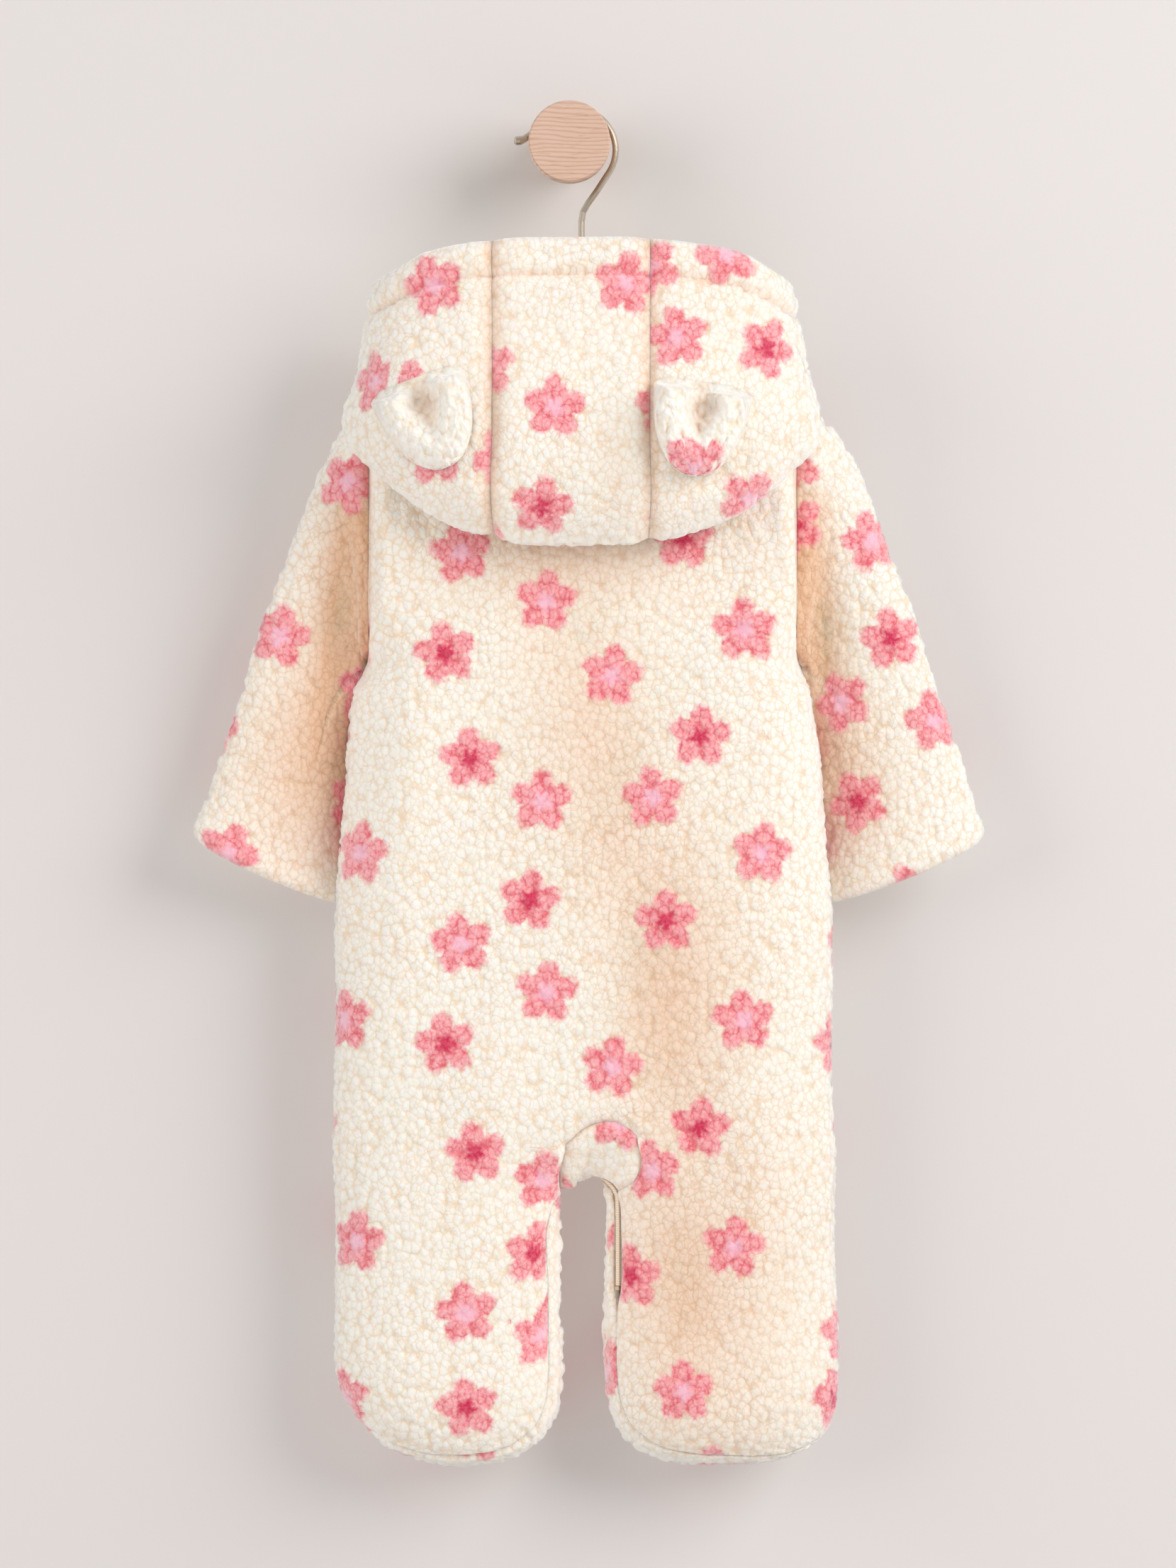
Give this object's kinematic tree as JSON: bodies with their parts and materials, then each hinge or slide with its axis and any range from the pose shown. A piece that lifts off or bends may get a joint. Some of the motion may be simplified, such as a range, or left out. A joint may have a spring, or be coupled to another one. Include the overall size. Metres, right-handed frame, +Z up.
{
  "type": "baby pramsuit",
  "caption": "Hooded, footed baby pramsuit of flowery teddy fleece with bear ears and a front zip, hung back to front on a peg.",
  "frame": {"origin": "centre of the wall peg's wall face", "axes": "+Z up, +Y into the wall, +X to the right of someone facing the wall"},
  "size_m": [0.4152, 0.1099, 0.7165],
  "materials": {
    "fleece": "curly pile with a flower print",
    "zip_tape": "woven",
    "zip_metal": "satin",
    "hook_metal": "polished",
    "pale_wood": "satin"
  },
  "bodies": {
    "suit": {"back_panel": "fleece", "front_left": "fleece", "front_right": "fleece", "crotch_gusset": "fleece", "sleeve_left": "fleece", "sleeve_right": "fleece", "hood_centre": "fleece", "hood_left": "fleece", "hood_right": "fleece", "ear_left": "fleece", "ear_right": "fleece", "zip_tape_left": "zip_tape", "zip_tape_right": "zip_tape", "zip_chain": "zip_metal", "zip_stop": "zip_metal", "zip_slider": "zip_metal", "hanger_bar": "hook_metal", "hanger_hook": "hook_metal", "wall_peg": "pale_wood"},
    "pull": {"zip_pull": "zip_metal"}
  },
  "joints": [
    {"name": "pull_swing", "type": "hinge", "parent": "suit", "child": "pull", "pos_m": [0.007, -0.00788, -0.164], "axis": [1, 0, 0], "range_deg": [0, 20]}
  ]
}
